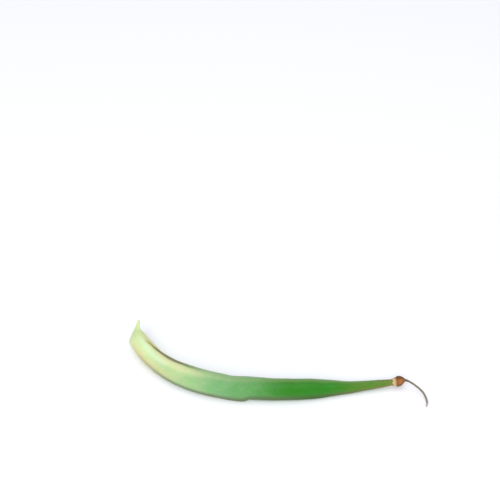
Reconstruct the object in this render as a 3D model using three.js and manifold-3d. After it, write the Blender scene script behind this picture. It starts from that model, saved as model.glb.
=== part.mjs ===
// A green bean as picked: one curved pod lying on its side, with its calyx and stalk still on.
// Millimetres, +Z up. The pod's spine runs from the stalk end, at +X, to the tip of its beak, at -X,
// where it bends towards +Y. The origin is on the flat spot that the pod rests on, below its middle.
import * as THREE from "three";
import { mergeVertices } from "three/addons/utils/BufferGeometryUtils.js";
import Module from "manifold-3d";

const wasm = await Module();
wasm.setup();

// The pod. Stations are millimetres along its spine from the end that the calyx hides.
const POD_LENGTH = 129;
const REST_STATION = 57; // the origin is below this point of the spine
const REST_FLATTENING = 0.25; // how far the underside is pressed flat

// [station, value]: the way the spine heads, in degrees turned from -X towards +Y
const HEADING = [
  [0, -6.5],
  [31, -5],
  [51, -1],
  [64, 3],
  [76, 12],
  [87, 23],
  [99, 35],
  [108, 45],
  [114, 53],
  [119, 65],
  [123, 86],
  [126, 98],
  [129, 100],
];

// [station, reach from the spine to the suture on the outer side of the bend]
const OUTER_REACH = [
  [0, 1.15],
  [2, 1.3],
  [7, 1.65],
  [13, 2],
  [21, 2.7],
  [29, 3.65],
  [37, 4.55],
  [51, 4.75],
  [59, 4.6],
  [61.5, 4.6],
  [63.2, 5],
  [65, 5.5],
  [68.5, 5.4],
  [75, 5.05],
  [87, 4.8],
  [99, 4.3],
  [108, 3.95],
  [114, 4.05],
  [117, 4.05],
  [118.5, 4.2],
  [120, 4.45],
  [121.3, 4],
  [122.6, 3],
  [124, 2.3],
  [126, 1.35],
  [128, 0.8],
  [129, 0.45],
];

// [station, reach from the spine to the suture on the inner side of the bend]
const INNER_REACH = [
  [0, 1.15],
  [2, 1.3],
  [7, 1.65],
  [13, 1.95],
  [21, 2.4],
  [29, 3.2],
  [37, 3.7],
  [51, 4.1],
  [59, 4.5],
  [64, 4.65],
  [70, 4.5],
  [75, 4.85],
  [87, 5.05],
  [99, 4.65],
  [108, 4.3],
  [114, 4.2],
  [119, 3.35],
  [122, 2.65],
  [124, 1.5],
  [125.5, 0.75],
  [127, 0.45],
  [129, 0.35],
];

// [station, half of the thickness between the pod's two cheeks]
const HALF_THICKNESS = [
  [0, 1.2],
  [2, 1.25],
  [13, 1.8],
  [21, 2.4],
  [29, 3.2],
  [37, 3.8],
  [51, 4.1],
  [76, 4.2],
  [99, 4],
  [108, 3.8],
  [114, 3.5],
  [119, 2.8],
  [122, 1.8],
  [124.5, 0.95],
  [126.5, 0.55],
  [129, 0.3],
];

// [station, gap below the pod]: both ends curl up from the surface that it lies on
const GAP_BELOW = [
  [0, 2.4],
  [13, 1],
  [23, 0.2],
  [31, 0],
  [94, 0],
  [102, 0.3],
  [108, 1.1],
  [114, 2.6],
  [119, 4.6],
  [123, 6.8],
  [126, 9],
  [129, 11.6],
];

// [station, degrees that the section rolls, which turns the inner suture up and the outer one down]
const ROLL = [
  [0, 30],
  [52, 30],
  [72, 42],
  [91, 40],
  [103, 36],
  [113, 31],
  [120, 25],
  [129, 20],
];

const SUTURE_RIDGE = 0.25; // how far the two seams stand out where the pod is thick
const SUTURE_SPREAD = 0.22; // how wide they are, as a sine of the turn round the section
const THICK_REACH = 4; // the outer reach from which they stand out in full
const LEAST_LEVEL = 0.04; // the spine keeps at least this much of its run level, squared
const NECK_ROUNDING = 1.2;
const TIP_ROUNDING = 0.5;

// The seeds show as faint swellings of both cheeks.
const SEEDS = 8;
const FIRST_SEED = 25;
const SEED_SPACING = 11.4;
const SEED_WANDER = 0.9;
const SEED_WANDER_TURN = 2.4; // radians from one seed's wander to the next one's
const SEED_SWELLING = 0.16;
const SEED_SPREAD = 3.6;

// The calyx: a dry cup of five teeth that holds the pod's neck. Depths run from its rim to the stalk.
const RIM_STATION = 0.9; // the cup's rim is over this point of the spine
const CALYX_LENGTH = 5.4;
const CALYX_WALL = [
  // depth, outer radius
  [5.4, 0],
  [5.35, 0.38],
  [5.1, 0.66],
  [4.7, 0.98],
  [4.25, 1.3],
  [3.8, 1.6],
  [3.35, 1.84],
  [2.8, 2],
  [2.1, 2.05],
  [1.5, 1.97],
  [1.1, 1.88],
  [0.6, 1.8],
  [0, 1.76],
];
const CUP_RADIUS = 1.54; // the hollow that the neck stands in
const CUP_DEPTH = 1.2;
const CUP_TAPER = 0.1; // the hollow narrows by this much to its floor
const LIP_DROP = 0.1; // the rim's edge stands this far beyond the hollow's
const TOOTH_LENGTH = 0.5;
const TOOTH_SHARPNESS = 1.5;
const TEETH = 5;
const CALYX_LEAN = 0.45; // how far its stalk end rises off the spine's line
const BRACT_RELIEF = 0.16; // two small bracts lie flat on its sides
const BRACT_TURNS = [0.2, 0.7];
const BRACT_DEPTH = 2.8;
const BRACT_HALF_LENGTH = 1.7;
const BRACT_HALF_WIDTH = 0.22; // as a sine of half of the turn round the calyx

// The stalk: thin and dry, it arches out of the calyx and droops to just above the surface.
const STALK_PATH = [
  [59.4, 4.6, 3.95],
  [60.8, 4.6, 4.07],
  [62, 4.1, 4.16],
  [64, 2.9, 3.88],
  [66.4, 1.3, 2.95],
  [67.6, 0.35, 2.3],
  [68.6, -0.85, 1.75],
  [69.5, -3.4, 0.97],
  [69.65, -5.2, 0.7],
  [69.2, -7.1, 0.57],
];
const STALK_RADIUS = [
  // share of its length, radius
  [0, 0.8],
  [0.08, 0.62],
  [0.15, 0.46],
  [0.25, 0.39],
  [0.4, 0.41],
  [0.7, 0.38],
  [0.92, 0.36],
  [1, 0.27],
];
const STALK_RIBS = 5;
const STALK_RIB = 0.08; // how high each faint rib is, as a share of the radius

// Facets
const POD_SPOKES = 32;
const POD_RINGS = 108;
const CALYX_SPOKES = 40;
const STALK_SPOKES = 10;
const STALK_RINGS = 40;
const SPINE_STEPS = 516;
const RING_CROWDING = 0.6; // how much closer the pod's rings stand at both ends
const SPOKE_CROWDING = 0.35; // how much closer its spokes stand at both sutures
const WELD_DISTANCE = 1e-4;

const UP = new THREE.Vector3(0, 0, 1);
const FULL_TURN = 2 * Math.PI;

// A smooth curve through a table's [place, value] pairs, which never overshoots them.
function valueAt(table, place) {
  const slopes = table.slice(1).map((end, i) => (end[1] - table[i][1]) / (end[0] - table[i][0]));
  const tangent = (i) => {
    const before = slopes[Math.max(i - 1, 0)];
    const after = slopes[Math.min(i, slopes.length - 1)];
    return before * after > 0 ? (2 * before * after) / (before + after) : 0;
  };
  const held = THREE.MathUtils.clamp(place, table[0][0], table.at(-1)[0]);
  const next = table.findIndex(([at], i) => i > 0 && held <= at);
  const [start, end] = [table[next - 1], table[next]];
  const width = end[0] - start[0];
  const t = (held - start[0]) / width;
  const easing = t * t * (3 - 2 * t);
  const leaving = t * (1 - t) ** 2 * width * tangent(next - 1);
  const arriving = t * t * (t - 1) * width * tangent(next);
  return start[1] * (1 - easing) + end[1] * easing + leaving + arriving;
}

function seedSwelling(station) {
  let total = 0;
  for (let i = 0; i < SEEDS; i++) {
    const centre = FIRST_SEED + i * SEED_SPACING + SEED_WANDER * Math.sin(SEED_WANDER_TURN * i);
    total += Math.exp(-(((station - centre) / SEED_SPREAD) ** 2));
  }
  return SEED_SWELLING * total;
}

function halfThickness(station) {
  return valueAt(HALF_THICKNESS, station) + seedSwelling(station);
}

// How far the rolled section reaches down from the spine.
function reachDown(station) {
  const roll = THREE.MathUtils.degToRad(valueAt(ROLL, station));
  const reach = valueAt(INNER_REACH, station); // it hasn't the outer side's kink
  return Math.hypot(reach * Math.sin(roll), halfThickness(station) * Math.cos(roll));
}

function spineHeight(station) {
  return reachDown(station) - REST_FLATTENING + valueAt(GAP_BELOW, station);
}

// The spine's slope, and its direction along the pod.
function spineDirection(station) {
  const step = POD_LENGTH / SPINE_STEPS;
  const low = Math.max(station - step, 0);
  const high = Math.min(station + step, POD_LENGTH);
  const climb = (spineHeight(high) - spineHeight(low)) / (high - low);
  const level = Math.sqrt(Math.max(1 - climb * climb, LEAST_LEVEL));
  const heading = THREE.MathUtils.degToRad(valueAt(HEADING, station));
  return new THREE.Vector3(-Math.cos(heading) * level, Math.sin(heading) * level, climb);
}

// Points along the spine, found by walking it from the stalk end, then moved to put the origin in place.
function walkSpine() {
  const step = POD_LENGTH / SPINE_STEPS;
  const plan = [new THREE.Vector3()];
  for (let i = 1; i <= SPINE_STEPS; i++) {
    const middle = spineDirection((i - 0.5) * step).setZ(0);
    plan.push(plan[i - 1].clone().addScaledVector(middle, step));
  }
  const origin = plan[Math.round(REST_STATION / step)].clone();
  return plan.map((point, i) => point.sub(origin).setZ(spineHeight(i * step)));
}

const SPINE = walkSpine();

// Where a station of the spine is, which way it runs, and its outward and upward directions.
function frameAt(station) {
  const place = (station / POD_LENGTH) * SPINE_STEPS;
  const low = Math.min(Math.floor(place), SPINE_STEPS - 1);
  const point = SPINE[low].clone().lerp(SPINE[low + 1], place - low);
  const along = spineDirection(station).normalize();
  const outward = new THREE.Vector3().crossVectors(UP, along).normalize();
  const upward = new THREE.Vector3().crossVectors(along, outward);
  return { point, along, outward, upward };
}

// A closed skin: a sphere whose rings are moved to where pointAt(along, turn) says, both from 0 to 1.
function skin(spokes, rings, pointAt) {
  const geometry = new THREE.SphereGeometry(1, spokes, rings);
  const position = geometry.attributes.position;
  for (let ring = 0; ring <= rings; ring++)
    for (let spoke = 0; spoke <= spokes; spoke++) {
      const { x, y, z } = pointAt(ring / rings, (spoke % spokes) / spokes);
      position.setXYZ(ring * (spokes + 1) + spoke, x, y, z);
    }
  return weld(geometry);
}

function weld(geometry) {
  geometry.deleteAttribute("normal");
  geometry.deleteAttribute("uv");
  const welded = mergeVertices(geometry, WELD_DISTANCE);
  welded.computeVertexNormals();
  return welded;
}

function toSolid(geometry) {
  return new wasm.Manifold(
    new wasm.Mesh({
      numProp: 3,
      vertProperties: geometry.attributes.position.array,
      triVerts: geometry.index.array,
    }),
  );
}

function toGeometry(solid) {
  const { vertProperties, triVerts } = solid.getMesh();
  const geometry = new THREE.BufferGeometry();
  geometry.setAttribute("position", new THREE.BufferAttribute(vertProperties, 3));
  geometry.setIndex(new THREE.BufferAttribute(triVerts, 1));
  geometry.computeVertexNormals();
  return geometry;
}

// Rounds the pod off at both ends, from 0 at the very end to 1.
function endRounding(station) {
  const neck = Math.min(station / NECK_ROUNDING, 1);
  const tip = Math.min((POD_LENGTH - station) / TIP_ROUNDING, 1);
  return Math.sqrt(1 - (1 - neck) ** 2) * Math.sqrt(1 - (1 - tip) ** 2);
}

// A point of the pod's skin. Rings crowd towards both ends, and spokes towards both sutures.
function podPoint(along, turn) {
  const station = POD_LENGTH * (along - (RING_CROWDING * Math.sin(FULL_TURN * along)) / FULL_TURN);
  const angle = -FULL_TURN * turn + SPOKE_CROWDING * Math.sin(2 * FULL_TURN * turn);
  const { point, outward, upward } = frameAt(station);
  const size = endRounding(station);
  const reach = valueAt(Math.cos(angle) > 0 ? OUTER_REACH : INNER_REACH, station);
  const girth = Math.min(valueAt(OUTER_REACH, station) / THICK_REACH, 1);
  const ridge = SUTURE_RIDGE * girth * Math.exp(-((Math.sin(angle) / SUTURE_SPREAD) ** 2));
  const side = (reach + ridge) * Math.cos(angle) * size;
  const rise = halfThickness(station) * Math.sin(angle) * size;
  const roll = THREE.MathUtils.degToRad(valueAt(ROLL, station));
  point.addScaledVector(outward, side * Math.cos(roll) + rise * Math.sin(roll));
  point.addScaledVector(upward, rise * Math.cos(roll) - side * Math.sin(roll));
  return point.setZ(Math.max(point.z, 0)); // the resting side is pressed flat
}

// The calyx as a turned cup, with its rim drawn out into teeth and two bracts raised on its sides.
function calyx() {
  const wall = CALYX_WALL.map(([depth, radius]) => new THREE.Vector2(radius, depth));
  const hollow = [
    new THREE.Vector2((CUP_RADIUS + wall.at(-1).x) / 2, -LIP_DROP),
    new THREE.Vector2(CUP_RADIUS, 0),
    new THREE.Vector2(CUP_RADIUS, CUP_DEPTH / 2),
    new THREE.Vector2(CUP_RADIUS - CUP_TAPER, CUP_DEPTH),
    new THREE.Vector2(0, CUP_DEPTH),
  ];
  const geometry = new THREE.LatheGeometry([...wall, ...hollow], CALYX_SPOKES);
  const position = geometry.attributes.position;
  const rim = frameAt(RIM_STATION);
  const place = new THREE.Vector3();
  for (let i = 0; i < position.count; i++) {
    place.fromBufferAttribute(position, i);
    const radius = Math.hypot(place.x, place.z);
    const turn = Math.atan2(place.z, place.x);
    const nearRim = THREE.MathUtils.clamp(1 - place.y / CUP_DEPTH, 0, 1);
    const tooth = (0.5 + 0.5 * Math.cos(TEETH * turn)) ** TOOTH_SHARPNESS * TOOTH_LENGTH * nearRim;
    const relief = BRACT_TURNS.reduce((sum, at) => {
      const aside = Math.sin((turn - at * FULL_TURN) / 2) / BRACT_HALF_WIDTH;
      const below = (place.y - BRACT_DEPTH) / BRACT_HALF_LENGTH;
      return sum + BRACT_RELIEF * Math.exp(-(aside ** 2) - below ** 2);
    }, 0);
    const isWall = i % geometry.parameters.points.length < wall.length;
    const swollen = isWall ? radius + relief : radius;
    const depth = place.y - tooth;
    const point = rim.point.clone().addScaledVector(rim.along, -depth);
    point.addScaledVector(rim.outward, -swollen * Math.cos(turn));
    point.addScaledVector(rim.upward, swollen * Math.sin(turn));
    point.z += (CALYX_LEAN * depth) / CALYX_LENGTH;
    position.setXYZ(i, point.x, point.y, point.z);
  }
  return weld(geometry);
}

function stalk() {
  const path = new THREE.CatmullRomCurve3(STALK_PATH.map((place) => new THREE.Vector3(...place)));
  const lastRing = STALK_RINGS - 2;
  const { normals, binormals } = path.computeFrenetFrames(lastRing);
  return skin(STALK_SPOKES, STALK_RINGS, (along, turn) => {
    // the first and last rings close the ends as flat discs
    const ring = THREE.MathUtils.clamp(Math.round(along * STALK_RINGS) - 1, 0, lastRing);
    const point = path.getPointAt(ring / lastRing);
    if (along === 0 || along === 1) return point;
    const rib = 1 + STALK_RIB * Math.cos(STALK_RIBS * FULL_TURN * turn);
    const radius = valueAt(STALK_RADIUS, ring / lastRing) * rib;
    point.addScaledVector(normals[ring], radius * Math.cos(FULL_TURN * turn));
    return point.addScaledVector(binormals[ring], -radius * Math.sin(FULL_TURN * turn));
  });
}

const freshSkin = new THREE.MeshStandardMaterial({ color: "#69a94e", roughness: 0.45, metalness: 0 });
const dryStem = new THREE.MeshStandardMaterial({ color: "#a86a3a", roughness: 0.8, metalness: 0 });

const pod = new THREE.Mesh(skin(POD_SPOKES, POD_RINGS, podPoint), freshSkin);
pod.name = "pod";

const stem = new THREE.Mesh(toGeometry(toSolid(calyx()).add(toSolid(stalk()))), dryStem);
stem.name = "stem_with_calyx";

const bean = new THREE.Group();
bean.add(pod, stem);

export default bean;
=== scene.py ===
"""A fresh green bean lying on its side: a waxed pod with its beak, a dry calyx and a dry bent stalk."""

import bpy
import numpy as np
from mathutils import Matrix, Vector, noise


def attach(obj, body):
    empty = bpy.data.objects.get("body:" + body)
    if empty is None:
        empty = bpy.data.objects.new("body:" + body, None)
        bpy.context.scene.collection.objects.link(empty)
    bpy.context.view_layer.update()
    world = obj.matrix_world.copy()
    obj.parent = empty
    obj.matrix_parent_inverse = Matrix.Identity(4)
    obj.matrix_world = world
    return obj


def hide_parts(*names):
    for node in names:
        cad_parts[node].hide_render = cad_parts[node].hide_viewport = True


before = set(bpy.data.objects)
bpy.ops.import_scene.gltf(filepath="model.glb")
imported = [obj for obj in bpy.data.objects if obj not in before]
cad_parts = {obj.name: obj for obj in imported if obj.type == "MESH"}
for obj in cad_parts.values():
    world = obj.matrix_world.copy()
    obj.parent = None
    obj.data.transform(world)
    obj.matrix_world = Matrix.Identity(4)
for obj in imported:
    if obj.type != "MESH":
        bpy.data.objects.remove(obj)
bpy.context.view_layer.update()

MM = 0.001  # shapes are worked out in millimetres, and made in metres
UP = np.array([0.0, 0, 1])

# The camera, above the bean's outer side. The bean lies low in its view.
CAMERA_ELEVATION = 42
CAMERA_DISTANCE = 600
CAMERA_AIM = (-5.07, 92, 0)
CAMERA_LENS = 90
CAMERA_SENSOR = 36
CAMERA_NEAREST = 20
CAMERA_FURTHEST = 20000

lens = bpy.data.cameras.new("camera")
lens.lens = CAMERA_LENS
lens.sensor_width = CAMERA_SENSOR
lens.clip_start = CAMERA_NEAREST * MM
lens.clip_end = CAMERA_FURTHEST * MM
camera = bpy.data.objects.new("camera", lens)
tilt = np.radians(CAMERA_ELEVATION)
towards_camera = np.array([0, -np.cos(tilt), np.sin(tilt)])
camera.location = (np.array(CAMERA_AIM) + CAMERA_DISTANCE * towards_camera) * MM
camera.rotation_euler = (np.radians(90) - tilt, 0, 0)
bpy.context.scene.collection.objects.link(camera)
bpy.context.scene.camera = camera


# The pod. Stations are millimetres along its spine, from the end inside the calyx to the beak's tip.
POD_LENGTH = 129
REST_STATION = 57
REST_FLATTENING = 0.25
SPINE_STEPS = 516
LEAST_LEVEL = 0.04  # keeps the spine's level part real where it climbs steeply

# (station, degrees that the spine heads from -X towards +Y)
HEADING = [
    (0, -6.5), (31, -5), (51, -1), (64, 3), (76, 12), (87, 23), (99, 35),
    (108, 45), (114, 53), (119, 65), (123, 86), (126, 98), (129, 100),
]
# (station, millimetres from the spine to the suture on the outer side of the bend)
OUTER_REACH = [
    (0, 1.15), (2, 1.3), (7, 1.65), (13, 2), (21, 2.7), (29, 3.65), (37, 4.55), (51, 4.75),
    (59, 4.6), (61.5, 4.6), (63.2, 5), (65, 5.5), (68.5, 5.4), (75, 5.05), (87, 4.8), (99, 4.3),
    (108, 3.95), (114, 4.05), (117, 4.05), (118.5, 4.2), (120, 4.45), (121.3, 4), (122.6, 3),
    (124, 2.3), (126, 1.35), (128, 0.8), (129, 0.45),
]
# (station, millimetres from the spine to the suture on the inner side of the bend)
INNER_REACH = [
    (0, 1.15), (2, 1.3), (7, 1.65), (13, 1.95), (21, 2.4), (29, 3.2), (37, 3.7), (51, 4.1),
    (59, 4.5), (64, 4.65), (70, 4.5), (75, 4.85), (87, 5.05), (99, 4.65), (108, 4.3),
    (114, 4.2), (119, 3.35), (122, 2.65), (124, 1.5), (125.5, 0.75), (127, 0.45), (129, 0.35),
]
# (station, half of the thickness between the two cheeks)
HALF_THICKNESS = [
    (0, 1.2), (2, 1.25), (13, 1.8), (21, 2.4), (29, 3.2), (37, 3.8), (51, 4.1), (76, 4.2),
    (99, 4), (108, 3.8), (114, 3.5), (119, 2.8), (122, 1.8), (124.5, 0.95), (126.5, 0.55),
    (129, 0.3),
]
# (station, gap below the pod)
GAP_BELOW = [
    (0, 2.4), (13, 1), (23, 0.2), (31, 0), (94, 0), (102, 0.3), (108, 1.1), (114, 2.6),
    (119, 4.6), (123, 6.8), (126, 9), (129, 11.6),
]
# (station, degrees that the section rolls, which turns the inner suture up and the outer one down)
ROLL = [(0, 30), (52, 30), (72, 42), (91, 40), (103, 36), (113, 31), (120, 25), (129, 20)]

SUTURE_RIDGE = 0.25
SUTURE_SPREAD = 0.22
FULL_REACH = 4  # the outer reach from which sutures and relief stand at full height
NECK_ROUNDING = 1.2
TIP_ROUNDING = 0.5

SEEDS = 8
FIRST_SEED = 25
SEED_SPACING = 11.4
SEED_WANDER = 0.9
SEED_WANDER_TURN = 2.4
SEED_SWELLING = 0.16
SEED_SPREAD = 3.6
SEED_STATIONS = [
    FIRST_SEED + SEED_SPACING * i + SEED_WANDER * np.sin(SEED_WANDER_TURN * i) for i in range(SEEDS)
]

# The calyx. Depths run from its rim, over the pod's neck, to the stalk.
RIM_STATION = 0.9
CALYX_LENGTH = 5.4
CALYX_LEAN = 0.45
# (depth, radius)
CALYX_WALL = [
    (0, 1.6), (0.6, 1.7), (1.1, 1.86), (1.5, 1.96), (2.1, 2.06), (2.8, 2.02), (3.35, 1.86),
    (3.8, 1.62), (4.25, 1.32), (4.7, 1), (5.1, 0.68), (5.35, 0.4), (5.4, 0.2),
]
CUP_RADIUS = 1.3
CUP_DEPTH = 1.2
CUP_FLOOR = 0.3
LIP_RISE = 0.06
LIP_ROUNDING = 0.05
TEETH = 5
TOOTH_LENGTH = 0.5
TOOTH_SHARPNESS = 1.5

# The stalk's middle line, from inside the calyx to its loose end, and (share of its length, radius)
STALK_PATH = np.array([
    (59.4, 4.6, 3.95), (60.8, 4.6, 4.07), (62, 4.1, 4.16), (64, 2.9, 3.88), (66.4, 1.3, 2.95),
    (67.6, 0.35, 2.3), (68.6, -0.85, 1.75), (69.5, -3.4, 0.97), (69.65, -5.2, 0.7),
    (69.2, -7.1, 0.57),
])
STALK_RADIUS = [
    (0, 0.8), (0.08, 0.6), (0.15, 0.44), (0.25, 0.37), (0.4, 0.39), (0.7, 0.36), (0.92, 0.34),
    (1, 0.25),
]


def between(table, place):
    """A smooth curve through (place, value) pairs, which never overshoots them."""
    at, value = np.array(table, float).T
    slope = np.diff(value) / np.diff(at)
    before = np.r_[slope[0], slope]
    after = np.r_[slope, slope[-1]]
    agree = before * after > 0
    tangent = np.where(agree, 2 * before * after / np.where(agree, before + after, 1), 0)
    place = np.clip(place, at[0], at[-1])
    i = np.clip(np.searchsorted(at, place) - 1, 0, len(slope) - 1)
    width = at[i + 1] - at[i]
    t = (place - at[i]) / width
    ease = t * t * (3 - 2 * t)
    leaving = t * (1 - t) ** 2 * width * tangent[i]
    arriving = t * t * (t - 1) * width * tangent[i + 1]
    return value[i] * (1 - ease) + value[i + 1] * ease + leaving + arriving


def hump(place, centre, spread):
    """A soft hump, 1 at its centre."""
    return np.exp(-(((place - centre) / spread) ** 2))


def fade(place, start, end):
    """0 up to start, 1 from end on, and smooth between them. Start may be the larger of the two."""
    t = np.clip((place - start) / (end - start), 0, 1)
    return t * t * (3 - 2 * t)


def half_thickness(station):
    seeds = sum(hump(station, centre, SEED_SPREAD) for centre in SEED_STATIONS)
    return between(HALF_THICKNESS, station) + SEED_SWELLING * seeds


def reach_down(station):
    roll = np.radians(between(ROLL, station))
    return np.hypot(between(INNER_REACH, station) * np.sin(roll), half_thickness(station) * np.cos(roll))


def spine_height(station):
    return reach_down(station) - REST_FLATTENING + between(GAP_BELOW, station)


def spine_direction(station):
    step = POD_LENGTH / SPINE_STEPS
    low = np.maximum(station - step, 0)
    high = np.minimum(station + step, POD_LENGTH)
    climb = (spine_height(high) - spine_height(low)) / (high - low)
    level = np.sqrt(np.maximum(1 - climb**2, LEAST_LEVEL))
    heading = np.radians(between(HEADING, station))
    return np.stack([-np.cos(heading) * level, np.sin(heading) * level, climb], -1)


def walk_spine():
    """Stations along the spine and the points there, with the point at the rest station over the origin."""
    step = POD_LENGTH / SPINE_STEPS
    stations = np.arange(SPINE_STEPS + 1) * step
    moves = spine_direction(stations[:-1] + step / 2) * step
    points = np.vstack([np.zeros(3), np.cumsum(moves, axis=0)])
    points -= points[round(REST_STATION / step)]
    points[:, 2] = spine_height(stations)
    return stations, points


SPINE_STATIONS, SPINE_POINTS = walk_spine()


def unit(vectors):
    return vectors / np.linalg.norm(vectors, axis=-1, keepdims=True)


def frame_at(station):
    """The spine's point at a station, the way that it runs, and its outward and upward directions."""
    station = np.atleast_1d(np.asarray(station, float))
    point = np.stack([np.interp(station, SPINE_STATIONS, SPINE_POINTS[:, k]) for k in range(3)], -1)
    along = unit(spine_direction(station))
    outward = unit(np.cross(UP, along))
    return point, along, outward, np.cross(along, outward)


GRAIN_SHIFT = 17.31  # moves each seed's noise to a place of its own


def grain(places, size, seed):
    """Smooth noise from -1 to 1 at each place, with its lumps about size apart."""
    flat = places.reshape(-1, 3) / np.array(size, float) + seed * GRAIN_SHIFT
    return np.array([noise.noise(Vector(place)) for place in flat]).reshape(places.shape[:-1])


def make_piece(name, vertices, faces, traits, material):
    """A smooth mesh piece from millimetre points, with named values or vectors for its material."""
    mesh = bpy.data.meshes.new(name)
    mesh.from_pydata((vertices * MM).tolist(), [], faces)
    mesh.polygons.foreach_set("use_smooth", [True] * len(mesh.polygons))
    for trait, values in traits.items():
        kind, field = ("FLOAT", "value") if values.shape[-1] == 1 else ("FLOAT_VECTOR", "vector")
        layer = mesh.attributes.new(trait, kind, "POINT")
        layer.data.foreach_set(field, values.astype(np.float32).ravel())
    mesh.materials.append(material)
    mesh.update()
    piece = bpy.data.objects.new(name, mesh)
    bpy.context.scene.collection.objects.link(piece)
    return piece


def loft(name, rings, traits, material):
    """Closes a stack of rings, shaped (rings, spokes, 3), with a point at either end."""
    count, spokes, _ = rings.shape
    whole = {}
    for trait, values in {"place": rings, **traits}.items():
        stack = values.reshape(count, spokes, -1)
        whole[trait] = np.vstack([*stack, stack[0].mean(0), stack[-1].mean(0)])
    faces = []
    for ring in range(count - 1):
        here, there = ring * spokes, (ring + 1) * spokes
        for spoke in range(spokes):
            beside = (spoke + 1) % spokes
            faces.append((here + spoke, there + spoke, there + beside, here + beside))
    first, last = count * spokes, count * spokes + 1
    top = (count - 1) * spokes
    for spoke in range(spokes):
        beside = (spoke + 1) % spokes
        faces.append((first, spoke, beside))
        faces.append((last, top + beside, top + spoke))
    return make_piece(name, whole.pop("place"), faces, whole, material)


# Materials

def linear(hex_colour):
    """A linear colour from an sRGB hex value."""
    channels = [int(hex_colour[i:i + 2], 16) / 255 for i in (1, 3, 5)]
    return [c / 12.92 if c <= 0.04045 else ((c + 0.055) / 1.055) ** 2.4 for c in channels] + [1]


def add(tree, kind, feeds=None, stops=None, **settings):
    """Adds a shader node with its settings. Each feed is a value, or another node's output."""
    made = tree.nodes.new("ShaderNode" + kind)
    for setting, value in settings.items():
        setattr(made, setting, value)
    for i, (place, colour) in enumerate(stops or []):
        elements = made.color_ramp.elements
        element = elements[i] if i < 2 else elements.new(place)
        element.position = place
        element.color = linear(colour)
    for socket, feed in (feeds or {}).items():
        if isinstance(feed, bpy.types.NodeSocket):
            tree.links.new(feed, made.inputs[socket])
        else:
            made.inputs[socket].default_value = feed
    return made


def start_material(name):
    material = bpy.data.materials.new(name)
    material.use_nodes = True
    material.node_tree.nodes.clear()
    return material, material.node_tree


# The pod's tones by station: an olive neck, a bean-green body, and a sage and then straw-green beak end
NECK_OLIVE = "#6c7c2e"
BEAN_GREEN = "#2a7a12"
SAGE_GREEN = "#78a870"
STRAW_GREEN = "#d0dca4"
SKIN_TONES = [
    (0, NECK_OLIVE), (28, BEAN_GREEN), (46, BEAN_GREEN), (76, SAGE_GREEN), (112, STRAW_GREEN),
]
# a pale tone for the upturned inner side, partly its own and partly painted sheen
PALE_SHEEN_TONE = "#e2deac"
STRAW_BLUSH = "#d4bc88"
# a pale green painted along the pale end's cheek as a highlight
HIGHLIGHT_GREEN = "#c8e8c0"
DEEP_FLESH = "#6fc48a"
PALE_VEIN = "#cfe8b4"
# The bands' tones by station, down the outer suture and down the inner one: fibre, with painted
# shade along the lower edge in the outer band, and in the inner band painted sheen along the green
# body's upper edge and painted shade in the pale end's crease
DRY_OLIVE = "#80763e"
DARK_FIBRE_SHADE = "#345a10"
GREY_OLIVE = "#788460"
STRAW_FIBRE = "#d8cc98"
OUTER_FIBRE_SHADE = [(0, DRY_OLIVE), (34, DARK_FIBRE_SHADE), (96, GREY_OLIVE), (120, STRAW_FIBRE)]
# the inner band's tones: painted sheen along the green body's upper edge, painted shade in the pale end's
# crease
LEAF_FIBRE_SHEEN = "#549840"
PALE_FIBRE_SHEEN = "#98bc8c"
CREASE_SHADE_OLIVE = "#707046"
CREASE_SHADE_STRAW = "#bcb45c"
INNER_FIBRE_SHEEN_SHADE = [
    (0, DRY_OLIVE), (14, LEAF_FIBRE_SHEEN), (42, LEAF_FIBRE_SHEEN), (70, PALE_FIBRE_SHEEN), (82, PALE_FIBRE_SHEEN),
    (95, CREASE_SHADE_OLIVE), (108, CREASE_SHADE_OLIVE), (119, CREASE_SHADE_STRAW),
]
# How far, in millimetres, the tones drift along the pod in patches and in flecks
PATCH_DRIFT = 12
FLECK_DRIFT = 9


def stops_by_station(tones):
    return [(station / POD_LENGTH, tone) for station, tone in tones]


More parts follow.
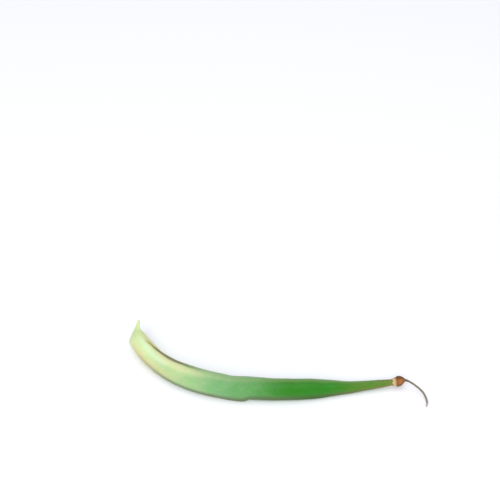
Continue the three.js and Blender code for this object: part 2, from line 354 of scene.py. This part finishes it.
def waxed_pod_skin():
    """Fresh pod skin: a thin wax over green flesh, so a soft satin sheen and a little light let in."""
    material, tree = start_material("waxed_pod_skin")
    grown = add(tree, "Attribute", attribute_name="grown_mm").outputs["Vector"]
    station = add(tree, "SeparateXYZ", {"Vector": grown}).outputs["X"]
    pale_sheen, blush, highlight_streak, outer_band_shade, inner_band_sheen_shade = (
        add(tree, "Attribute", attribute_name=mask).outputs["Fac"]
        for mask in ("pale_sheen", "blush", "highlight_streak", "outer_band_shade", "inner_band_sheen_shade")
    )

    # the green pales along the pod towards the beak, in patches about 7 mm across and flecks of 1 mm
    patches = add(tree, "TexNoise", {"Vector": grown, "Scale": 0.14, "Detail": 3.0}).outputs["Fac"]
    flecks = add(tree, "TexNoise", {
        "Vector": grown, "Scale": 0.8, "Detail": 4.0, "Roughness": 0.6, "Distortion": 0.5,
    }).outputs["Fac"]
    drifted = station
    for blotches, drift in ((patches, PATCH_DRIFT), (flecks, FLECK_DRIFT)):
        ahead = add(tree, "Math", {0: blotches, 1: 0.5}, operation="SUBTRACT").outputs["Value"]
        drifted = add(tree, "Math", {0: ahead, 1: drift, 2: drifted},
                      operation="MULTIPLY_ADD").outputs["Value"]
    share = add(tree, "Math", {0: drifted, 1: POD_LENGTH}, operation="DIVIDE").outputs["Value"]
    skin = add(tree, "ValToRGB", {"Fac": share}, stops=stops_by_station(SKIN_TONES)).outputs["Color"]
    # the upturned inner side is paler, partly its own tone and partly painted sheen; towards the beak the
    # outer side has a straw blush
    for wash, tone in ((pale_sheen, PALE_SHEEN_TONE), (blush, STRAW_BLUSH)):
        skin = add(tree, "Mix", {"Factor": wash, "A": skin, "B": linear(tone)},
                   data_type="RGBA").outputs["Result"]

    # faint cooler clouds about 3 mm across, where the flesh under the skin is deeper
    clouds = add(tree, "TexNoise", {"Vector": grown, "Scale": 0.3, "Detail": 2.0}).outputs["Fac"]
    cooler = add(tree, "MapRange", {
        "Value": clouds, "From Min": 0.5, "From Max": 0.72, "To Max": 0.45,
    }).outputs["Result"]
    skin = add(tree, "Mix", {"Factor": cooler, "A": skin, "B": linear(DEEP_FLESH)},
               data_type="RGBA", blend_type="SOFT_LIGHT").outputs["Result"]

    # fine slanting veins, a little paler than the skin, drawn 0.8 mm apart; real ones are about 0.6 mm
    slant = add(tree, "Mapping", {"Vector": grown, "Rotation": (0, 0, 0.5), "Scale": (0.35, 1.0, 1.0)})
    veins = add(tree, "TexNoise", {
        "Vector": slant.outputs["Vector"], "Scale": 1.3, "Detail": 4.0, "Roughness": 0.6,
    }).outputs["Fac"]
    pale_vein = add(tree, "MapRange", {
        "Value": veins, "From Min": 0.45, "From Max": 0.75, "To Max": 0.4,
    }).outputs["Result"]
    skin = add(tree, "Mix", {"Factor": pale_vein, "A": skin, "B": linear(PALE_VEIN)},
               data_type="RGBA", blend_type="SOFT_LIGHT").outputs["Result"]

    # a painted highlight: a pale streak along the cheek of the pale end
    skin = add(tree, "Mix", {"Factor": highlight_streak, "A": skin, "B": linear(HIGHLIGHT_GREEN)},
               data_type="RGBA").outputs["Result"]

    # both sutures are bands of tougher fibre, olive along the green and straw-coloured towards the
    # beak, and the inner one's band turns into a brown-olive crease where the pale end bends. Besides
    # the fibre, the outer band paints shade along the lower edge, and the inner band paints sheen along
    # the green body's upper edge and shade in the crease
    exact = add(tree, "Math", {0: station, 1: POD_LENGTH}, operation="DIVIDE").outputs["Value"]
    for band, tones in ((outer_band_shade, OUTER_FIBRE_SHADE), (inner_band_sheen_shade, INNER_FIBRE_SHEEN_SHADE)):
        fibre = add(tree, "ValToRGB", {"Fac": exact}, stops=stops_by_station(tones)).outputs["Color"]
        skin = add(tree, "Mix", {"Factor": band, "A": skin, "B": fibre},
                   data_type="RGBA").outputs["Result"]

    # pores and the roots of fine hairs, drawn 0.3 mm apart so that they show; real ones are closer
    pores = add(tree, "TexVoronoi", {"Vector": grown, "Scale": 3.2}).outputs["Distance"]
    pits = add(tree, "MapRange", {"Value": pores, "From Min": 0.0, "From Max": 0.35}).outputs["Result"]
    fibres = add(tree, "Math", {0: veins, 1: 2.0, 2: pits}, operation="MULTIPLY_ADD").outputs["Value"]
    relief = add(tree, "Bump", {"Height": fibres, "Strength": 0.25, "Distance": 0.06 * MM})
    satin = add(tree, "MapRange", {
        "Value": veins, "From Min": 0.3, "From Max": 0.7, "To Min": 0.42, "To Max": 0.54,
    })
    surface = add(tree, "BsdfPrincipled", {
        "Base Color": skin,
        "Roughness": satin.outputs["Result"],
        "IOR": 1.4,
        "Subsurface Weight": 0.12,
        "Subsurface Radius": (0.9, 1.0, 0.4),
        "Subsurface Scale": 1.2 * MM,
        "Coat Weight": 0.06,
        "Coat Roughness": 0.3,
        "Normal": relief.outputs["Normal"],
    })
    add(tree, "OutputMaterial", {"Surface": surface.outputs["BSDF"]})
    return material


# The calyx's tones by depth from its rim
RIM_CREAM = "#d4b486"
NUT_BROWN = "#8c5824"
RUST_BROWN = "#b07034"
BARK_BROWN = "#6c543c"
CALYX_TONES = [
    (0, RIM_CREAM), (0.6, RIM_CREAM), (1.5, NUT_BROWN), (3.1, RUST_BROWN), (5.4, BARK_BROWN),
]
# painted shade for the hollows of the calyx's wrinkles
HOLLOW_SHADE_BROWN = "#5e3a1d"
# painted shade for the cap's top and lower side
CAP_SHADE_BROWN = "#5a3b22"
BLOTCH_DRIFT = 0.9


def dry_calyx_paper():
    """A dead calyx: thin dry leaf, cream and papery at the rim and nut brown over the cap."""
    material, tree = start_material("dry_calyx_paper")
    cup = add(tree, "Attribute", attribute_name="cup_mm").outputs["Vector"]
    depth, _, height = add(tree, "SeparateXYZ", {"Vector": cup}).outputs

    # the tones drift in blotches about 1 mm across
    blotches = add(tree, "TexNoise", {"Vector": cup, "Scale": 0.9, "Detail": 4.0}).outputs["Fac"]
    ahead = add(tree, "Math", {0: blotches, 1: 0.5}, operation="SUBTRACT").outputs["Value"]
    drifted = add(tree, "Math", {0: ahead, 1: BLOTCH_DRIFT, 2: depth},
                  operation="MULTIPLY_ADD").outputs["Value"]
    share = add(tree, "Math", {0: drifted, 1: CALYX_LENGTH}, operation="DIVIDE").outputs["Value"]
    stops = [(place / CALYX_LENGTH, tone) for place, tone in CALYX_TONES]
    tone = add(tree, "ValToRGB", {"Fac": share}, stops=stops).outputs["Color"]

    # wrinkles about 0.2 mm apart, with painted shade in their hollows
    wrinkles = add(tree, "TexNoise", {
        "Vector": cup, "Scale": 5.0, "Detail": 5.0, "Roughness": 0.65,
    }).outputs["Fac"]
    hollow_shade = add(tree, "MapRange", {
        "Value": wrinkles, "From Min": 0.6, "From Max": 0.35, "To Max": 0.3,
    }).outputs["Result"]
    tone_with_shade = add(tree, "Mix", {"Factor": hollow_shade, "A": tone, "B": linear(HOLLOW_SHADE_BROWN)},
               data_type="RGBA").outputs["Result"]

    # past the rim, the cap is painted darker along its top and on its lower side: painted shade
    top_shade = add(tree, "MapRange", {
        "Value": height, "From Min": 1.55, "From Max": 2.1, "To Max": 0.65,
    }).outputs["Result"]
    under_shade = add(tree, "MapRange", {
        "Value": height, "From Min": 0.7, "From Max": -1.1, "To Max": 0.6,
    }).outputs["Result"]
    cap_shade = add(tree, "Math", {0: top_shade, 1: under_shade}, operation="MAXIMUM").outputs["Value"]
    past_rim = add(tree, "MapRange", {
        "Value": depth, "From Min": 0.9, "From Max": 1.5,
    }).outputs["Result"]
    cap_shade = add(tree, "Math", {0: cap_shade, 1: past_rim}, operation="MULTIPLY").outputs["Value"]
    tone_with_shade = add(tree, "Mix", {"Factor": cap_shade, "A": tone_with_shade, "B": linear(CAP_SHADE_BROWN)},
               data_type="RGBA").outputs["Result"]

    relief = add(tree, "Bump", {"Height": wrinkles, "Strength": 0.5, "Distance": 0.1 * MM})
    surface = add(tree, "BsdfPrincipled", {
        "Base Color": tone_with_shade,
        "Roughness": 0.68,
        "IOR": 1.45,
        "Normal": relief.outputs["Normal"],
    })
    add(tree, "OutputMaterial", {"Surface": surface.outputs["BSDF"]})
    return material


# The stalk's tones by share of its length
GREY_BROWN = "#867a5e"
PALE_BREAK = "#d4c8c0"
STALK_TONES = [(0, BARK_BROWN), (0.3, GREY_BROWN), (0.82, GREY_BROWN), (1, PALE_BREAK)]
# painted shade for the gaps between the stalk's strings
CRACK_SHADE_BROWN = "#4a3f32"


def dry_stalk_fibre():
    """A dead stalk: grey-brown bark that has split into lengthwise strings of fibre."""
    material, tree = start_material("dry_stalk_fibre")
    run = add(tree, "Attribute", attribute_name="stalk_run").outputs["Vector"]
    share = add(tree, "SeparateXYZ", {"Vector": run}).outputs["X"]
    tone = add(tree, "ValToRGB", {"Fac": share}, stops=STALK_TONES).outputs["Color"]

    # strings about 0.2 mm wide and 1 mm long, with painted shade between them
    stretched = add(tree, "Mapping", {"Vector": run, "Scale": (12.0, 4.5, 4.5)}).outputs["Vector"]
    strings = add(tree, "TexNoise", {"Vector": stretched, "Scale": 1.0, "Detail": 3.0}).outputs["Fac"]
    crack_shade = add(tree, "MapRange", {
        "Value": strings, "From Min": 0.6, "From Max": 0.35, "To Max": 0.5,
    }).outputs["Result"]
    streaked = add(tree, "Mix", {"Factor": crack_shade, "A": tone, "B": linear(CRACK_SHADE_BROWN)},
                   data_type="RGBA").outputs["Result"]

    relief = add(tree, "Bump", {"Height": strings, "Strength": 0.5, "Distance": 0.08 * MM})
    surface = add(tree, "BsdfPrincipled", {
        "Base Color": streaked,
        "Roughness": 0.78,
        "IOR": 1.45,
        "Normal": relief.outputs["Normal"],
    })
    add(tree, "OutputMaterial", {"Surface": surface.outputs["BSDF"]})
    return material


CARD_WHITE = "#fbfcff"


def white_card():
    """Matt white card under the bean, with hardly any tooth."""
    material, tree = start_material("white_card")
    # a card's tooth is about 0.1 mm across, and is drawn 0.5 mm across
    place = add(tree, "TexCoord").outputs["Object"]
    tooth = add(tree, "TexNoise", {"Vector": place, "Scale": 2000.0, "Detail": 2.0}).outputs["Fac"]
    relief = add(tree, "Bump", {"Height": tooth, "Strength": 0.04, "Distance": 0.1 * MM})
    surface = add(tree, "BsdfPrincipled", {
        "Base Color": linear(CARD_WHITE),
        "Roughness": 0.9,
        "Normal": relief.outputs["Normal"],
    })
    add(tree, "OutputMaterial", {"Surface": surface.outputs["BSDF"]})
    return material


# The pod's mesh, with rings that crowd towards its ends and spokes that crowd towards its sutures.
# A section's angle runs from 0 at the outer suture over the upper cheek to half a turn at the inner one.
POD_RINGS = 520
POD_SPOKES = 160
RING_CROWDING = 0.45
SPOKE_CROWDING = 0.35

# Finer relief: how far each form stands out or sinks in, and how far it spreads
FLESH_LUMPS = 0.05
FLESH_LUMP_SIZE = (9, 3, 3)
SKIN_RIPPLES = 0.02
SKIN_RIPPLE_SIZE = (2.5, 1.2, 1.2)
SEED_LUMP = 0.1
SEED_LUMP_SPREAD = 3
SEED_LUMP_ON_CHEEK = (0.1, 0.55)  # its middle and spread, by the cosine of the section's angle
SUTURE_CORD = 0.07
SUTURE_GROOVE = 0.05
GROOVE_BESIDE = 0.11  # the sine of the section's angle at the grooves beside the sutures
CORD_SPREAD = 0.035
KINK_STATION = 62.4
KINK_DEPTH = 0.16
KINK_SPREAD = 0.7
KINK_EDGE = (0.2, 0.9)  # the cosines of the section's angle between which the kink deepens
NECK_WRINKLES = 0.025
NECK_WRINKLE_SPACING = 1.1
NECK_WRINKLE_SWAY = 0.5
NECK_WRINKLE_SWAY_SIZE = (3, 1, 1)
NECK_WRINKLE_END = (4, 11)

# The fibre band and crease beside the inner suture, on the upper cheek, which paint sheen along the
# green body's upper edge and shade in the pale end's crease: (station, degrees that its middle lies
# round from the suture), (station, half of its width) and (station, its strength)
CREASE_TURN = [
    (0, 16), (57, 18), (84, 18), (99, 17), (104, 18), (109, 23), (113, 31), (116, 40), (129, 50),
]
CREASE_WIDTH = [
    (0, 1), (30, 2), (60, 2), (80, 1.9), (98, 1.75), (104, 1.5), (109, 1.2), (113, 1), (129, 1),
]
CREASE_SHARE = [
    (0, 0.6), (57, 0.5), (80, 0.6), (90, 0.9), (110, 0.95), (113, 0.85), (119, 0), (129, 0),
]
CREASE_EDGE = (1.1, 0.3)  # the shares of that half width between which it fades in
CREASE_WANDER = 0.35
CREASE_WANDER_SIZE = (4, 1.2, 1.2)
# As relief it is a groove, which starts and ends between these stations
CREASE_DEPTH = 0.12
CREASE_SPREAD = 0.5
CREASE_START = (84, 100)
CREASE_END = (112, 119)

# The fine string of fibre on the inner suture
STRING_SHARE = 0.5
STRING_SPREAD = 0.45
STRING_END = (94, 106)

# How pale the inner side, which the roll turns up, is by station, and the angle where that starts,
# in radians: partly its own paler tone and partly painted sheen
SHEEN_SHARE = [
    (0, 0), (14, 0.12), (35, 0.16), (60, 0.16), (78, 0.22), (90, 0.5), (99, 0.75), (108, 0.6),
    (116, 0.4), (123, 0),
]
SHEEN_EDGE = [(0, 1.85), (75, 1.85), (92, 1.6), (129, 1.6)]
SHEEN_SOFTNESS = 0.5

# How blushed the outer side is, by station, and the angles between which that fades
BLUSH_SHARE = [(0, 0), (90, 0), (97, 0.25), (104, 0.5), (112, 0.5), (117, 0.2), (122, 0), (129, 0)]
BLUSH_EDGE = (1.5, 0.9)

# The painted highlight streak on the pale end's upper cheek
HIGHLIGHT_SHARE = 0.7
HIGHLIGHT_ANGLE = 1.9
HIGHLIGHT_SPREAD = 0.24
HIGHLIGHT_START = (95, 107)
HIGHLIGHT_END = (116, 122)

# The angle that the outer suture's fibre band reaches on the upper cheek, by station, how softly it
# ends there, and the angles between which it ends on the lower cheek. The band is partly fibre and
# partly painted shade along the pod's lower edge
OUTER_BAND = [(0, 0.78), (90, 0.78), (104, 0.95), (129, 0.95)]
OUTER_BAND_SOFTNESS = 0.4
OUTER_BAND_BELOW = (0.3, 0.08)
OUTER_BAND_SHARE = 0.92
OUTER_BAND_END = (112, 121)


def skin_relief(s, angle, grown, off_crease):
    """How far the skin stands out of the plain section, where the pod has its full girth."""
    outwards, cheek = np.cos(angle), np.sin(angle)
    proud = FLESH_LUMPS * grain(grown, FLESH_LUMP_SIZE, seed=1)
    proud += SKIN_RIPPLES * grain(grown, SKIN_RIPPLE_SIZE, seed=2)
    seeds = sum(hump(s, centre, SEED_LUMP_SPREAD) for centre in SEED_STATIONS)
    proud += SEED_LUMP * seeds * hump(outwards, *SEED_LUMP_ON_CHEEK)
    proud += SUTURE_CORD * hump(cheek, 0, CORD_SPREAD)
    proud -= SUTURE_GROOVE * hump(np.abs(cheek), GROOVE_BESIDE, CORD_SPREAD)
    creased = fade(s, *CREASE_START) * (1 - fade(s, *CREASE_END))
    proud -= CREASE_DEPTH * creased * hump(off_crease, 0, CREASE_SPREAD)
    proud -= KINK_DEPTH * hump(s, KINK_STATION, KINK_SPREAD) * fade(outwards, *KINK_EDGE)
    swayed = s + NECK_WRINKLE_SWAY * grain(grown, NECK_WRINKLE_SWAY_SIZE, seed=3)
    wrinkles = np.sin(2 * np.pi * swayed / NECK_WRINKLE_SPACING)
    proud += NECK_WRINKLES * wrinkles * (1 - fade(s, *NECK_WRINKLE_END))
    return proud


def skin_masks(s, angle, grown, girth_radius, off_crease):
    """The masks of the skin's washes and fibre bands, from 0 to 1; among them are painted sheen, a painted
    highlight and painted shade.
    """
    above = np.sin(angle) > 0
    turned = np.pi - np.abs(angle - np.pi)
    # the upturned inner side pales, partly its own tone and partly painted sheen
    pale_sheen = fade(turned - between(SHEEN_EDGE, s), 0, SHEEN_SOFTNESS) * between(SHEEN_SHARE, s)
    blush = fade(turned, *BLUSH_EDGE) * between(BLUSH_SHARE, s)
    # a painted highlight streak along the pale end's upper cheek
    along_streak = fade(s, *HIGHLIGHT_START) * (1 - fade(s, *HIGHLIGHT_END))
    highlight_streak = HIGHLIGHT_SHARE * hump(turned, HIGHLIGHT_ANGLE, HIGHLIGHT_SPREAD) * above * along_streak
    # the outer band: fibre, and painted shade along the lower edge
    upper_band = fade(between(OUTER_BAND, s) - turned, 0, OUTER_BAND_SOFTNESS)
    lower_band = fade(turned, *OUTER_BAND_BELOW)
    outer_band_shade = OUTER_BAND_SHARE * np.where(above, upper_band, lower_band)
    outer_band_shade = outer_band_shade * (1 - fade(s, *OUTER_BAND_END))
    string = hump((np.pi - turned) * girth_radius, 0, STRING_SPREAD) * (1 - fade(s, *STRING_END))
    # the band beside the inner suture: painted sheen on the green body, painted shade in the crease, and
    # the fibre string on the suture
    ragged = off_crease + CREASE_WANDER * grain(grown, CREASE_WANDER_SIZE, seed=4)
    crease = fade(np.abs(ragged) / between(CREASE_WIDTH, s), *CREASE_EDGE) * between(CREASE_SHARE, s)
    inner_band_sheen_shade = np.maximum(crease, STRING_SHARE * string)
    return {
        "pale_sheen": pale_sheen,
        "blush": blush,
        "highlight_streak": highlight_streak,
        "outer_band_shade": outer_band_shade,
        "inner_band_sheen_shade": inner_band_sheen_shade,
    }


def make_pod():
    t = np.linspace(0, 1, POD_RINGS + 2)[1:-1]
    station = POD_LENGTH * (t - RING_CROWDING * np.sin(2 * np.pi * t) / (2 * np.pi))
    turn = np.linspace(0, 2 * np.pi, POD_SPOKES, endpoint=False)
    s, angle = np.meshgrid(station, turn - SPOKE_CROWDING * np.sin(2 * turn), indexing="ij")
    outwards, cheek = np.cos(angle), np.sin(angle)

    # the plain section, with its ends rounded and its sutures raised
    neck = np.clip(s / NECK_ROUNDING, 0, 1)
    tip = np.clip((POD_LENGTH - s) / TIP_ROUNDING, 0, 1)
    size = np.sqrt(1 - (1 - neck) ** 2) * np.sqrt(1 - (1 - tip) ** 2)
    reach = np.where(outwards > 0, between(OUTER_REACH, s), between(INNER_REACH, s))
    thick = half_thickness(s)
    girth = np.minimum(between(OUTER_REACH, s) / FULL_REACH, 1)
    ridge = SUTURE_RIDGE * girth * hump(cheek, 0, SUTURE_SPREAD)
    side = (reach + ridge) * outwards * size
    rise = thick * cheek * size

    # the finer relief, pushed in and out along the section's normal
    grown = np.stack([s, side, rise], -1)
    girth_radius = (reach + thick) / 2
    off_crease = (angle - np.pi + np.radians(between(CREASE_TURN, s))) * girth_radius
    proud = skin_relief(s, angle, grown, off_crease) * girth * size
    normal_side, normal_rise = outwards / reach, cheek / thick
    length = np.hypot(normal_side, normal_rise)
    side = side + proud * normal_side / length
    rise = rise + proud * normal_rise / length

    point, _, outward, upward = (v[:, None, :] for v in frame_at(station))
    roll = np.radians(between(ROLL, s))
    lateral = (side * np.cos(roll) + rise * np.sin(roll))[..., None]
    vertical = (rise * np.cos(roll) - side * np.sin(roll))[..., None]
    rings = point + lateral * outward + vertical * upward
    rings[..., 2] = np.maximum(rings[..., 2], 0)
    traits = {"grown_mm": grown, **skin_masks(s, angle, grown, girth_radius, off_crease)}
    pod = loft("bean_pod", rings, traits, waxed_pod_skin())
    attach(pod, "root")
    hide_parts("pod")


# The calyx's mesh
CALYX_RINGS = 70
CUP_RINGS = 12
CALYX_SPOKES = 150

# Its ribs, crinkles and flared rim: how far each stands out, its size, and the depths where it fades
CALYX_RIBS = 0.05
CALYX_RIB_TURN = 0.4
CALYX_RIB_START = (0.5, 2.5)
CALYX_RIB_END = (4.5, 5.4)
CRINKLES = 0.1
CRINKLE_SIZE = (1.4, 0.7, 0.7)
FINE_CRINKLES = 0.05
FINE_CRINKLE_SIZE = (0.5, 0.3, 0.3)
CRINKLE_RADII = (0.2, 1)  # ribs and crinkles die out where the cap closes on the stalk
TOOTH_FLARE = 0.08
RIM_SWAY = 0.06
RIM_SWAY_SIZE = (3, 0.9, 0.9)


def on_cup(depth, radius, turn):
    """Where a point of the calyx lies in the calyx's own millimetres: its depth, and across it."""
    return np.stack([depth + 0 * turn, radius * np.cos(turn), radius * np.sin(turn)], -1)


def place_on_calyx(depth, radius, turn):
    """A point of the calyx from its depth, its distance from the middle and its turn round it."""
    point, along, outward, upward = (v[0] for v in frame_at(RIM_STATION))
    down, across, high = np.moveaxis(on_cup(depth, radius, turn)[..., None], -2, 0)
    return point - along * down - outward * across + upward * high + UP * CALYX_LEAN * down / CALYX_LENGTH


def make_calyx(material):
    turn = np.linspace(0, 2 * np.pi, CALYX_SPOKES, endpoint=False)[None, :]
    outside = np.linspace(CALYX_LENGTH, 0, CALYX_RINGS)
    inside = np.linspace(0, CUP_DEPTH, CUP_RINGS)
    wall = between(CALYX_WALL, outside)
    depth = np.r_[outside, -LIP_RISE, -LIP_RISE, inside, CUP_DEPTH][:, None]
    lip = (wall[-1] - LIP_ROUNDING, CUP_RADIUS + LIP_ROUNDING)
    radius = np.r_[wall, lip, np.full(CUP_RINGS, CUP_RADIUS), CUP_FLOOR][:, None]
    is_outside = np.arange(len(depth))[:, None] <= CALYX_RINGS

    near_rim = np.clip(1 - depth / CUP_DEPTH, 0, 1)
    tooth = (0.5 + 0.5 * np.cos(TEETH * turn)) ** TOOTH_SHARPNESS
    places = on_cup(depth, radius, turn)
    ribs = CALYX_RIBS * np.cos(2 * TEETH * turn + CALYX_RIB_TURN)
    ribs = ribs * fade(depth, *CALYX_RIB_START) * (1 - fade(depth, *CALYX_RIB_END))
    crinkles = CRINKLES * grain(places, CRINKLE_SIZE, seed=5)
    crinkles += FINE_CRINKLES * grain(places, FINE_CRINKLE_SIZE, seed=6)
    flare = TOOTH_FLARE * near_rim**2 * tooth + RIM_SWAY * near_rim * grain(places, RIM_SWAY_SIZE, seed=7)
    radius = radius + (ribs + crinkles) * is_outside * fade(radius, *CRINKLE_RADII) + flare
    depth = depth - TOOTH_LENGTH * tooth * near_rim
    traits = {"cup_mm": on_cup(depth, radius, turn)}
    calyx = loft("calyx", place_on_calyx(depth, radius, turn), traits, material)
    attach(calyx, "root")
    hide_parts("stem_with_calyx")


# Two small bracts pressed flat on the calyx, each with its turn round it in degrees
BRACTS = {"bract_upper": 72, "bract_lower": 252}
BRACT_RINGS = 24
BRACT_SPOKES = 28
BRACT_LENGTH = 3.1
BRACT_ROOT_DEPTH = 4.6
BRACT_HALF_WIDTH = 0.95
BRACT_LEAST_WIDTH = 0.02
BRACT_BELLY = 0.8  # below 1, its widest place lies nearer the root
BRACT_FULLNESS = 0.7  # below 1, its sides are rounder
BRACT_HALF_THICKNESS = 0.06
BRACT_LIFT = 0.1
BRACT_CURL = 0.22
BRACT_HOLLOW = 0.05
BRACT_TONE_DEPTH = 1.2  # how much deeper in the calyx's tones a bract's are


def make_bract(name, centre, material):
    length = np.linspace(0, 1, BRACT_RINGS)[:, None]
    outline = np.sin(np.pi * length**BRACT_BELLY) ** BRACT_FULLNESS
    width = BRACT_HALF_WIDTH * outline + BRACT_LEAST_WIDTH
    around = np.linspace(0, 2 * np.pi, BRACT_SPOKES, endpoint=False)[None, :]
    across, face = np.cos(around), np.sin(around)
    depth = BRACT_ROOT_DEPTH - BRACT_LENGTH * length
    wall = between(CALYX_WALL, depth)
    lift = BRACT_LIFT + BRACT_CURL * length**3 + BRACT_HALF_THICKNESS * face + BRACT_HOLLOW * across**2
    turn = np.radians(centre) + width * across / wall
    radius = wall + lift
    traits = {"cup_mm": on_cup(depth + BRACT_TONE_DEPTH, radius, turn)}
    bract = loft(name, place_on_calyx(depth, radius, turn), traits, material)
    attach(bract, "root")
    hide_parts("stem_with_calyx")


# The stalk's mesh
STALK_RINGS = 220
STALK_SPOKES = 40
PATH_SAMPLES = 2000

# Its ribs, knots and frayed end, as shares of its radius where they aren't millimetres
STALK_TWIST = 1.4
STALK_RIB_COUNT = 5
STALK_RIBS = 0.09
KNOTS = 0.1
KNOT_SIZE = (2.2, 1.1, 1.1)
CHIPS = 0.12
CHIP_SIZE = (0.9, 0.5, 0.5)
FRAY = 0.45
FRAY_SIZE = (30, 0.5, 0.5)
FRAY_START = 0.96


def along_path(points, count):
    """Evenly spaced places on a smooth curve through points, with the directions there."""
    gaps = np.linalg.norm(np.diff(points, axis=0), axis=1) ** 0.5
    knots = np.r_[0, np.cumsum(gaps)]
    padded = np.vstack([2 * points[0] - points[1], points, 2 * points[-1] - points[-2]])
    spread = np.r_[knots[0] - gaps[0], knots, knots[-1] + gaps[-1]]
    tangents = []
    for i in range(1, len(points) + 1):
        before = (padded[i] - padded[i - 1]) / (spread[i] - spread[i - 1])
        after = (padded[i + 1] - padded[i]) / (spread[i + 1] - spread[i])
        whole = (padded[i + 1] - padded[i - 1]) / (spread[i + 1] - spread[i - 1])
        tangents.append(before - whole + after)
    tangents = np.array(tangents)
    at = np.linspace(0, knots[-1], PATH_SAMPLES)
    i = np.clip(np.searchsorted(knots, at) - 1, 0, len(gaps) - 1)
    width = (knots[i + 1] - knots[i])[:, None]
    t = (at - knots[i])[:, None] / width
    curve = ((2 * t**3 - 3 * t**2 + 1) * points[i] + (t**3 - 2 * t**2 + t) * width * tangents[i]
             + (3 * t**2 - 2 * t**3) * points[i + 1] + (t**3 - t**2) * width * tangents[i + 1])
    run = np.r_[0, np.cumsum(np.linalg.norm(np.diff(curve, axis=0), axis=1))]
    even = np.linspace(0, run[-1], count)
    places = np.stack([np.interp(even, run, curve[:, k]) for k in range(3)], -1)
    return places, unit(np.gradient(places, axis=0)), run[-1]


def make_stalk(material):
    places, along, length = along_path(STALK_PATH, STALK_RINGS)
    side = unit(np.cross(along[0], UP))
    sides = []
    for direction in along:
        side = unit(side - direction * (side @ direction))
        sides.append(side)
    sides = np.array(sides)
    over = np.cross(along, sides)

    turn = np.linspace(0, 2 * np.pi, STALK_SPOKES, endpoint=False)
    share, turn = np.meshgrid(np.linspace(0, 1, STALK_RINGS), turn, indexing="ij")
    twist = turn + STALK_TWIST * share
    run = np.stack([share * length, np.cos(turn), np.sin(turn)], -1)
    ribs = STALK_RIBS * np.cos(STALK_RIB_COUNT * twist) + KNOTS * grain(run, KNOT_SIZE, seed=8)
    chips = CHIPS * grain(run, CHIP_SIZE, seed=9)
    radius = between(STALK_RADIUS, share) * (1 + ribs) * (1 + chips)
    ragged = FRAY * grain(run, FRAY_SIZE, seed=10) * fade(share, FRAY_START, 1)
    rings = (places[:, None, :]
             + (radius * np.cos(turn))[..., None] * sides[:, None, :]
             - (radius * np.sin(turn))[..., None] * over[:, None, :]
             + ragged[..., None] * along[:, None, :])
    traits = {"stalk_run": np.stack([share, np.cos(twist), np.sin(twist)], -1)}
    stalk = loft("stalk", rings, traits, material)
    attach(stalk, "root")
    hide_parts("stem_with_calyx")


make_pod()
calyx_paper = dry_calyx_paper()
make_calyx(calyx_paper)
for bract_name, bract_turn in BRACTS.items():
    make_bract(bract_name, bract_turn, calyx_paper)
make_stalk(dry_stalk_fibre())


# The table and the light, in metres
TABLE_REACH = 3.0
STUDIO_WHITE = "#f4f7ff"
STUDIO_STRENGTH = 0.42


def make_table():
    mesh = bpy.data.meshes.new("table")
    corners = [(x * TABLE_REACH, y * TABLE_REACH, 0) for x, y in ((-1, -1), (1, -1), (1, 1), (-1, 1))]
    mesh.from_pydata(corners, [], [(0, 1, 2, 3)])
    mesh.materials.append(white_card())
    table = bpy.data.objects.new("table", mesh)
    bpy.context.scene.collection.objects.link(table)


def hang_light(name, place, aim, width, watts, in_gloss=True):
    light = bpy.data.lights.new(name, "AREA")
    light.size = width
    light.energy = watts
    lamp = bpy.data.objects.new(name, light)
    lamp.location = place
    lamp.rotation_euler = (Vector(aim) - Vector(place)).to_track_quat("-Z", "Y").to_euler()
    lamp.visible_glossy = in_gloss
    bpy.context.scene.collection.objects.link(lamp)


make_table()
hang_light("softbox", place=(0, 0, 1.15), aim=(0, 0.1, 0), width=1.5, watts=7.5)
# the fill from the front is kept out of the gloss, as a polarising sheet over it would
hang_light("fill", place=(-0.2, -1.2, 1.1), aim=(0, 0.08, 0), width=1.3, watts=18, in_gloss=False)

world = bpy.data.worlds.new("studio")
world.use_nodes = True
background = world.node_tree.nodes["Background"]
background.inputs["Color"].default_value = linear(STUDIO_WHITE)
background.inputs["Strength"].default_value = STUDIO_STRENGTH
bpy.context.scene.world = world
bpy.context.scene.view_settings.view_transform = "Standard"
